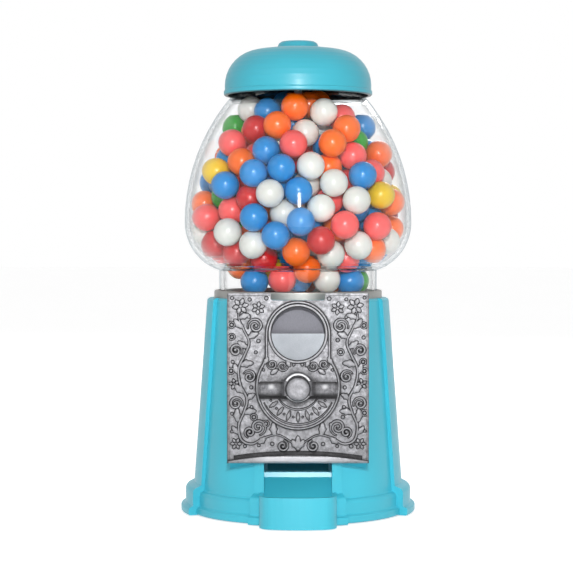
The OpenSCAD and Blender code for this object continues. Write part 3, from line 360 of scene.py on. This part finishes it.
def glass(name):
    """Thin clear glass, greyer where it is seen edge on, with a ground mouth that is tinted dark as painted
    shade under the lid; it casts hardly any shadow.
    """
    g = Surface(name)
    facing = g.add("ShaderNodeLayerWeight", Blend=0.5).outputs["Facing"]
    ground = g.fade_mm(g.z, MOUTH_Z - 5.2, MOUTH_Z - 4.4)
    tint = g.mix(g.remap(facing, 0.66, 0.96), (0.985, 0.99, 0.992), (0.30, 0.34, 0.36))
    # Painted shade: the ground mouth under the lid is tinted dark grey
    tint = g.mix(ground, tint, (0.30, 0.33, 0.34))
    ripple = g.bump(g.noise(26, 1), 0.8, 0.16)
    clear = g.principled(tint, g.times(ground, 0.5), 0.0, ripple, Transmission_Weight=1.0, IOR=1.18,
                         Coat_Weight=0.25, Coat_Roughness=0.05)
    rim = g.blend(g.fade(facing, 0.60, 0.95, 0.0, 0.65), clear, g.see_through((0.70, 0.74, 0.76)))
    # The band under the lid passes light straight on, so that no sliver of background shows at the lid's edge
    under_lid = g.fade_mm(g.z, UNDER_LID - 3.5, UNDER_LID - 0.5, 0.0, 0.96)
    band = g.blend(under_lid, rim, g.see_through((0.85, 0.88, 0.89)))
    path = g.add("ShaderNodeLightPath").outputs
    lighting = g.calc("MAXIMUM", path["Is Shadow Ray"], path["Is Diffuse Ray"])
    return g.done(g.blend(lighting, band, g.see_through((0.95, 0.975, 0.98))))


TURQUOISE = srgb(64, 187, 208)
CANDY = {
    "white": srgb(224, 221, 214),
    "blue": srgb(8, 130, 200),
    "orange": srgb(255, 104, 0),
    "pink": srgb(252, 92, 90),
    "red": srgb(196, 16, 18),
    "yellow": srgb(238, 194, 0),
    "green": srgb(18, 152, 18),
}
relief_metal = pewter("relief_metal", srgb(62, 61, 63), srgb(176, 176, 180), (FACE - 0.12, FACE - 0.46))
trim_metal = pewter("trim_metal", srgb(66, 65, 67), srgb(180, 180, 184), (SHIELD - 0.12, SHIELD - 0.42))
dark_rubber = rubber("dark_rubber")
ivory = plastic("ivory", srgb(226, 224, 214), 0.4)
zinc = bare("zinc", srgb(160, 162, 166), 0.4, (1, 1, 4))
LOOK = {name: zinc for name in nodes}
LOOK.update({
    "body": paint("body_paint", TURQUOISE),
    # The lid's paint is the body's turquoise darkened as painted shade, with painted shade inside it too
    "lid": paint("lid_paint", shade(TURQUOISE, 0.83), srgb(34, 44, 50)),
    "front_plate": pewter("plate_metal", srgb(154, 154, 158), sunk=FACE + 0.3, painted_light=plate_painted_light),
    "handle": pewter("knob_metal", srgb(132, 132, 136), srgb(164, 164, 168),
                     (HANDLE_FRONT + 3.3, HANDLE_FRONT - 1.7), painted_light=knob_painted_light, painted_highlight=paint_flange_highlight),
    "coin_slot_plate": bare("smooth_metal", srgb(150, 154, 159), 0.5, (1, 1, 8)),
    "coin_carrier": bare("carrier_metal", srgb(112, 112, 118), 0.5, (8, 1, 1)),
    "globe_collar": bare("collar_metal", srgb(156, 156, 153), 0.42, (1, 1, 14)),
    "mechanism_plate": bare("dull_metal", srgb(106, 106, 112), 0.5, (6, 1, 1)),
    "lid_insert": bare("brass", srgb(196, 160, 88), 0.3, (1, 1, 6)),
    "hopper_floor": plastic("black", (0.016, 0.016, 0.018), 0.42),
    "candy_chute": plastic("chute_teal", srgb(40, 110, 125), 0.42),
    "candy_wheel": ivory,
    "drive_gear": ivory,
    "transfer_gear": ivory,
    "base_pad": dark_rubber,
    "coin_plug": dark_rubber,
    "globe_gasket": dark_rubber,
    "globe": glass("clear_glass"),
})
for tint, colour in CANDY.items():
    LOOK["gumballs_" + tint] = candy("candy_" + tint, colour)
LOOK["wheel_gumballs"] = LOOK["gumballs_blue"]
for name, ob in nodes.items():
    ob.data.materials.clear()
    ob.data.materials.append(LOOK[name])


def soften(name, width, angle):
    """Rounds a node's edges that are sharper than the angle; width in mm."""
    m = nodes[name].modifiers.new("edge", "BEVEL")
    m.width = width * MM
    m.segments = 2
    m.limit_method = "ANGLE"
    m.angle_limit = radians(angle)
    m.use_clamp_overlap = True
    m.harden_normals = False


soften("body", 0.6, 28)
soften("lid", 0.4, 40)
soften("handle", 0.5, 30)
soften("front_plate", 0.5, 40)
soften("coin_slot_plate", 0.3, 40)


# ------------------------------------------------------------ relief of the plate, in mm
FRINGE = 0.34         # width of the low edge around a form
FRINGE_H = 0.09       # height of that edge, which holds dark patina
FOOT_H = 0.13         # height at which a form starts to rise
ROOT = 0.25           # how far a form reaches into the face


def arc(z, radius, start, end, steps):
    """Points on an arc around X 0."""
    turns = [start + (end - start) * i / steps for i in range(steps + 1)]
    return [(radius * cos(a), z + radius * sin(a)) for a in turns]


def circle(x, z, radius, n):
    return [(x + radius * cos(2 * pi * i / n), z + radius * sin(2 * pi * i / n)) for i in range(n)]


def mirrored(angle, side):
    """The angle itself on the right side (1), its mirror image on the left one (-1)."""
    return angle if side > 0 else pi - angle


def curve_through(pts, steps=8):
    """Smooth line through the points (Catmull-Rom)."""
    out = []
    p = [pts[0]] + list(pts) + [pts[-1]]
    for i in range(1, len(p) - 2):
        for k in range(steps):
            t = k / steps
            place = []
            for a, b, c, d in zip(p[i - 1], p[i], p[i + 1], p[i + 2]):
                bend = (2 * a - 5 * b + 4 * c - d) * t * t + (3 * b - a - 3 * c + d) * t ** 3
                place.append(0.5 * (2 * b + (c - a) * t + bend))
            out.append(tuple(place))
    out.append(tuple(pts[-1]))
    return out


class Relief:
    """Cast ornament standing on a face that looks along -Y."""

    def __init__(self, face):
        self.face = face
        self.verts, self.faces = [], []

    def add(self, verts, faces):
        first = len(self.verts)
        self.verts += verts
        self.faces += [tuple(i + first for i in corners) for corners in faces]

    def section(self, w, h, groove=0.0):
        """Places and heights across a form of half width w, with an optional groove along its middle."""
        half = [(w + FRINGE + 0.1, -ROOT), (w + FRINGE, FRINGE_H), (w, FOOT_H), (0.8 * w, 0.62 * h),
                (0.42 * w, 0.95 * h)]
        return half + [(0.0, h * (1 - groove))] + [(-a, b) for a, b in reversed(half)]

    def sheet(self, rows, closed=False):
        """Skin over rows of points, capped at both ends unless the rows close up."""
        n, m = len(rows), len(rows[0])
        faces = []
        for i in range(n if closed else n - 1):
            for j in range(m - 1):
                p, q = i * m + j, ((i + 1) % n) * m + j
                faces.append((p, p + 1, q + 1, q))
        if not closed:
            faces += [tuple(range(m - 1, -1, -1)), tuple((n - 1) * m + j for j in range(m))]
        self.add([v for row in rows for v in row], faces)

    def strip(self, pts, width, height, closed=False):
        """Ridge along a line, thinner towards its ends unless it is closed."""
        n = len(pts)
        rows = []
        for i, (x, z) in enumerate(pts):
            before = pts[(i - 1) % n] if closed or i else pts[i]
            after = pts[(i + 1) % n] if closed or i < n - 1 else pts[i]
            along = Vector((after[0] - before[0], after[1] - before[1]))
            along.normalize()
            u = i / (n - 1)
            k = 1.0 if closed else 0.35 + 0.65 * min(1.0, 3.2 * min(u, 1 - u) + 0.1)
            rows.append([(x - along[1] * off, self.face - h, z + along[0] * off)
                         for off, h in self.section(width * k, height * k)])
        self.sheet(rows, closed)

    def bead(self, x, z, r, height=None, ring=0):
        """Round bead, with a ring around it if ring is a radius."""
        height = height or r * 0.8
        n = 14
        rows = [(0.4 * r, 0.93 * height), (0.8 * r, 0.62 * height), (r, FOOT_H), (r + FRINGE, FRINGE_H),
                (r + FRINGE + 0.1, -ROOT)]
        verts, faces = [(x, self.face - height, z)], []
        for radius, h in rows:
            verts += [(cx, self.face - h, cz) for cx, cz in circle(x, z, radius, n)]
        for j in range(n):
            faces.append((0, 1 + (j + 1) % n, 1 + j))
            for i in range(len(rows) - 1):
                p, q = 1 + i * n, 1 + (i + 1) * n
                faces.append((p + j, p + (j + 1) % n, q + (j + 1) % n, q + j))
        self.add(verts, faces)
        if ring:
            self.strip(circle(x, z, ring, 20), 0.3, 0.45, closed=True)

    def leaf(self, x, z, angle, length, width, height=0.9, curl=0.25):
        """Grooved leaf from a point, bent by curl along its length."""
        n = 10
        rows = []
        for i in range(-1, n + 2):
            beyond = i < 0 or i > n
            u = min(1.0, max(0.0, i / n))
            reach = length * u + (FRINGE if i > n else -FRINGE if i < 0 else 0)
            bend = angle + curl * u * 2
            cx = x + reach * cos(angle + curl * u)
            cz = z + reach * sin(angle + curl * u)
            w = width * sin(pi * min(1.0, u * 0.92 + 0.05)) ** 0.8 * (1 + 0.16 * sin(u * 16))
            h = 0.05 if beyond else height * (0.55 + 0.45 * sin(pi * u))
            rows.append([(cx - sin(bend) * off, self.face - min(v, h), cz + cos(bend) * off)
                         for off, v in self.section(w, h, 0.34)])
        self.sheet(rows)

    def flower(self, x, z, r, petals, turn):
        for k in range(petals):
            a = turn + 2 * pi * k / petals
            self.leaf(x + 0.22 * r * cos(a), z + 0.22 * r * sin(a), a, r * 0.78, r * 0.27, 0.8, 0.0)
        self.bead(x, z, r * 0.24, 1.05)

    def scroll(self, x, z, r, start, turns, width, height, way=1):
        """Spiral that winds in to a bead at its middle."""
        pts = []
        n = int(22 * turns)
        for i in range(n + 1):
            u = i / n
            a = start + way * 2 * pi * turns * u
            k = r * (1 - u) ** 0.8 + 0.5
            pts.append((x + k * cos(a), z + k * sin(a)))
        self.strip(pts, width, height)
        self.bead(x + 0.5 * cos(a), z + 0.5 * sin(a), width * 1.5, height * 1.1)

    def piece(self, name, metal):
        """Makes the visible piece, which rides on the housing."""
        mesh = bpy.data.meshes.new(name)
        mesh.from_pydata([(x * MM, y * MM, z * MM) for x, y, z in self.verts], [], self.faces)
        bm = bmesh.new()
        bm.from_mesh(mesh)
        bmesh.ops.recalc_face_normals(bm, faces=bm.faces)
        bm.to_mesh(mesh)
        bm.free()
        for p in mesh.polygons:
            p.use_smooth = True
        ob = bpy.data.objects.new(name, mesh)
        bpy.context.scene.collection.objects.link(ob)
        ob.data.materials.append(metal)
        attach(ob, "housing")


# Main stem of the right half: from the foot of the shield along the bottom and up the side
STEM = [(3, 47), (11, 51.5), (19, 50), (26, 46.5), (32, 49), (33.5, 57), (30.5, 64.5), (28.8, 72), (32.5, 80),
        (33.5, 89), (30, 97), (27.6, 104), (30.5, 111), (33.5, 118), (32, 124)]
# Scrolls: x, z, radius, start angle, turns, direction
SCROLLS = ((22.5, 56.0, 4.2, 4.6, 1.5, -1), (27.2, 53.0, 2.6, 5.0, 1.4, 1), (35.0, 69.4, 3.4, 3.6, 1.5, -1),
           (27.4, 84.6, 3.2, 0.4, 1.4, 1), (35.0, 99.4, 3.2, 3.8, 1.5, -1), (24.0, 113.2, 4.0, 5.9, 1.5, 1),
           (8.6, 45.4, 2.8, 1.7, 1.4, 1))
# Leaves: x, z, angle, length, half width
LEAVES = ((13, 51.2, 1.25, 7.6, 1.9), (18.5, 50.2, -0.9, 5.2, 1.6), (33.2, 52.5, 0.55, 5.6, 1.5),
          (33.6, 59, 1.25, 7.6, 1.9), (30.6, 64.0, 2.75, 7.0, 1.8), (29.0, 71.6, 2.3, 5.6, 1.5),
          (30.2, 76.0, 0.4, 7.0, 1.9), (33.4, 86.4, 0.9, 6.0, 1.7), (32.6, 91.0, 2.75, 7.4, 1.9),
          (28.4, 101, 0.35, 6.4, 1.7), (28.0, 106.4, 2.45, 6.2, 1.7), (31.0, 112.4, 0.5, 6.8, 1.8),
          (33.2, 117.6, 2.6, 6.2, 1.6))
# Flowers: x, z, radius, petals, turn
FLOWERS = ((32.4, 124.4, 4.4, 6, 0.2), (22.4, 123.2, 3.6, 6, 0.4), (36.0, 80.4, 3.0, 5, 0.5),
           (35.0, 46.6, 3.2, 6, 0.0))
BEADS = ((17.6, 128.6), (27.2, 128.2), (37.4, 129), (22.6, 105.0), (23.8, 98.2), (37.2, 107.0), (27.4, 118.4),
         (36.8, 92.8), (26.4, 78.4), (37.2, 63.8), (26.0, 67.6), (25.2, 61.8), (37.4, 53.6), (29.8, 45.2),
         (14.4, 46.4), (37.4, 113.6), (22.4, 45.4), (18.4, 57.8), (37.6, 87.6))
BEAD_SEED = {1: 11, -1: 23}


def plate_ornament():
    """Stems, scrolls, leaves, flowers and beads on the plate around the shield, mirrored to both sides."""
    art = Relief(FACE)
    for side in (1, -1):
        art.strip([(side * x, z) for x, z in curve_through(STEM)], 0.62, 0.85)
        for x, z, radius, start, turns, way in SCROLLS:
            art.scroll(side * x, z, radius, mirrored(start, side), turns, 0.6, 0.8, way * side)
        for x, z, angle, length, width in LEAVES:
            art.leaf(side * x, z, mirrored(angle, side), length, width, curl=0.25 * side)
        for x, z, radius, petals, turn in FLOWERS:
            art.flower(side * x, z, radius, petals, turn)
        rnd = random.Random(BEAD_SEED[side])
        for x, z in BEADS:
            art.bead(side * (x + rnd.uniform(-0.3, 0.3)), z + rnd.uniform(-0.3, 0.3), rnd.uniform(0.7, 1.0),
                     ring=0 if rnd.random() < 0.6 else 1.6)
    # Palmette in the middle of the bottom
    for lean, length in ((0, 7.2), (-0.6, 6.0), (0.6, 6.0)):
        art.leaf(0, 43.8, pi / 2 + lean, length, 1.7, curl=0)
    art.bead(0, 43.8, 1.2)
    art.piece("plate_ornament", relief_metal)


SHIELD_W = 18.3       # half width of the shield beside the window
DISC_R = 24.0         # radius of the shield's disc around the handle
SHIELD_MIDDLE = 92    # height that the ridge is drawn in towards
INSET_X, INSET_Z = 0.965, 0.985


def shield_outline():
    """Edge of the keyhole shield: the disc, both sides and the round top."""
    gap = asin(SHIELD_W / DISC_R)
    disc = arc(HANDLE_Z, DISC_R, pi / 2 - gap, gap - 1.5 * pi, 60)
    corner = HANDLE_Z + DISC_R * cos(gap)
    rise = [corner + (WINDOW_Z - corner) * k / 5 for k in range(1, 5)]
    top = arc(WINDOW_Z, SHIELD_W, pi, 0, 30)
    return disc + [(-SHIELD_W, z) for z in rise] + top + [(SHIELD_W, z) for z in reversed(rise)]


def shield_trim():
    """Ridge along the shield's edge, rim of the window, and small forms above and below the handle."""
    art = Relief(SHIELD)
    inset = [(x * INSET_X, (z - SHIELD_MIDDLE) * INSET_Z + SHIELD_MIDDLE) for x, z in shield_outline()]
    art.strip(inset, 0.5, 0.55, closed=True)
    art.strip(circle(0, WINDOW_Z, 16.1, 72), 0.65, 0.6, closed=True)
    # Leaves between the window and the handle
    for side in (1, -1):
        art.scroll(side * 8.6, 90.6, 2.6, mirrored(2.6, side), 1.4, 0.42, 0.55, side)
        art.scroll(side * 14.6, 91.6, 2.4, mirrored(0.2, side), 1.4, 0.42, 0.55, -side)
        art.leaf(side * 4.4, 90.4, mirrored(0.9, side), 4.0, 1.2, 0.6, 0.2 * side)
        art.leaf(side * 11.4, 88.6, mirrored(-0.4, side), 4.6, 1.3, 0.6, -0.2 * side)
        art.leaf(side * 17.0, 95.6, mirrored(-1.2, side), 4.6, 1.2, 0.6, 0.2 * side)
        art.bead(side * 2.4, 91.4, 0.7, 0.5)
        art.bead(side * 19.4, 88.4, 0.6, 0.5)
    # Two arcs in the lower half of the disc, with leaves and beads between them
    for radius in (12.6, 21.0):
        art.strip(arc(HANDLE_Z, radius, 0.42 - pi, -0.42, 30), 0.32, 0.4)
    step = 0.32
    for i in range(7):
        a = -pi / 2 + (i - 3) * step
        art.leaf(14.0 * cos(a), HANDLE_Z + 14.0 * sin(a), a, 5.6, 0.9, 0.4, 0.0)
    for i in range(8):
        a = -pi / 2 + (i - 3.5) * step
        art.bead(17.0 * cos(a), HANDLE_Z + 17.0 * sin(a), 0.45, 0.35)
    art.piece("shield_trim", trim_metal)


plate_ornament()
shield_trim()

# ------------------------------------------------------------ stage, light and camera, in metres
WHITE = (1, 1, 1)
FLOOR_GLOW = 0.70     # what the floor adds to its lit shade where it is seen, so that it ends up white
SKY_LIGHT = 0.31
scene = bpy.context.scene
scene.view_settings.view_transform = "Standard"


def white_ground(name):
    """Pale floor: white where it is seen, with the object's shadow kept."""
    g = Surface(name)
    tone = g.mix(g.remap(g.noise(3, 2), 0.4, 0.6), (0.80, 0.80, 0.80), (0.82, 0.82, 0.82))
    lit = g.add("ShaderNodeBsdfPrincipled", Base_Color=tone, Roughness=0.9, Specular_IOR_Level=0.1)
    glow = g.add("ShaderNodeEmission", Color=WHITE, Strength=g.times(g.light_seen(), FLOOR_GLOW))
    both = g.add("ShaderNodeAddShader")
    g.feed(both.inputs[0], lit.outputs[0])
    g.feed(both.inputs[1], glow.outputs[0])
    return g.done(both)


def studio(name):
    """World that lights softly and is white where it is seen."""
    g = Graph(bpy.data.worlds.new(name), "ShaderNodeOutputWorld")
    light = g.add("ShaderNodeBackground", Color=WHITE, Strength=SKY_LIGHT)
    backdrop = g.add("ShaderNodeBackground", Color=WHITE, Strength=1.0)
    return g.done(g.blend(g.light_seen(), light, backdrop))


def turned_to(ob, place, target):
    ob.location = place
    ob.rotation_euler = (Vector(target) - Vector(place)).to_track_quat("-Z", "Y").to_euler()
    scene.collection.objects.link(ob)


def lamp(name, place, target, size, watts, mirrored=False):
    """Round lamp that the camera doesn't see; only a mirrored one shows in glossy surfaces."""
    light = bpy.data.lights.new(name, "AREA")
    light.shape = "DISK"
    light.size = size
    light.energy = watts
    ob = bpy.data.objects.new(name, light)
    turned_to(ob, place, target)
    ob.visible_camera = False
    ob.visible_glossy = mirrored


floor_mesh = bpy.data.meshes.new("floor")
floor_mesh.from_pydata([(-6, -3, 0), (6, -3, 0), (6, 9, 0), (-6, 9, 0)], [], [(0, 1, 2, 3)])
floor = bpy.data.objects.new("floor", floor_mesh)
scene.collection.objects.link(floor)
floor.data.materials.append(white_ground("floor_white"))
scene.world = studio("studio")

lamp("key", (0.02, -1.06, 0.40), (0, 0, 0.14), size=0.022, watts=6.0, mirrored=True)
lamp("left", (-1.1, -0.9, 1.0), (0, 0, 0.12), size=0.7, watts=2.2)
lamp("right", (1.2, -0.7, 0.9), (0, 0, 0.12), size=0.7, watts=2.0)
lamp("low", (0, -0.78, 0.11), (0, 0, 0.03), size=0.4, watts=1.6)
lamp("back", (0.3, 1.4, 0.9), (0, 0, 0.12), size=0.8, watts=6.5)

PHOTO_W = 573         # width of the photo in px
FOCAL_PX = 1812       # focal length that the photo's perspective gives
SENSOR = 36
CAMERA_Z = 0.1628
camera = bpy.data.cameras.new("camera")
camera.sensor_fit = "HORIZONTAL"
camera.sensor_width = SENSOR
camera.lens = FOCAL_PX / PHOTO_W * SENSOR
camera.clip_start = 0.05
viewer = bpy.data.objects.new("camera", camera)
turned_to(viewer, (0, -1.082, CAMERA_Z), (-0.00687, 0, CAMERA_Z - 0.02896))
scene.camera = viewer
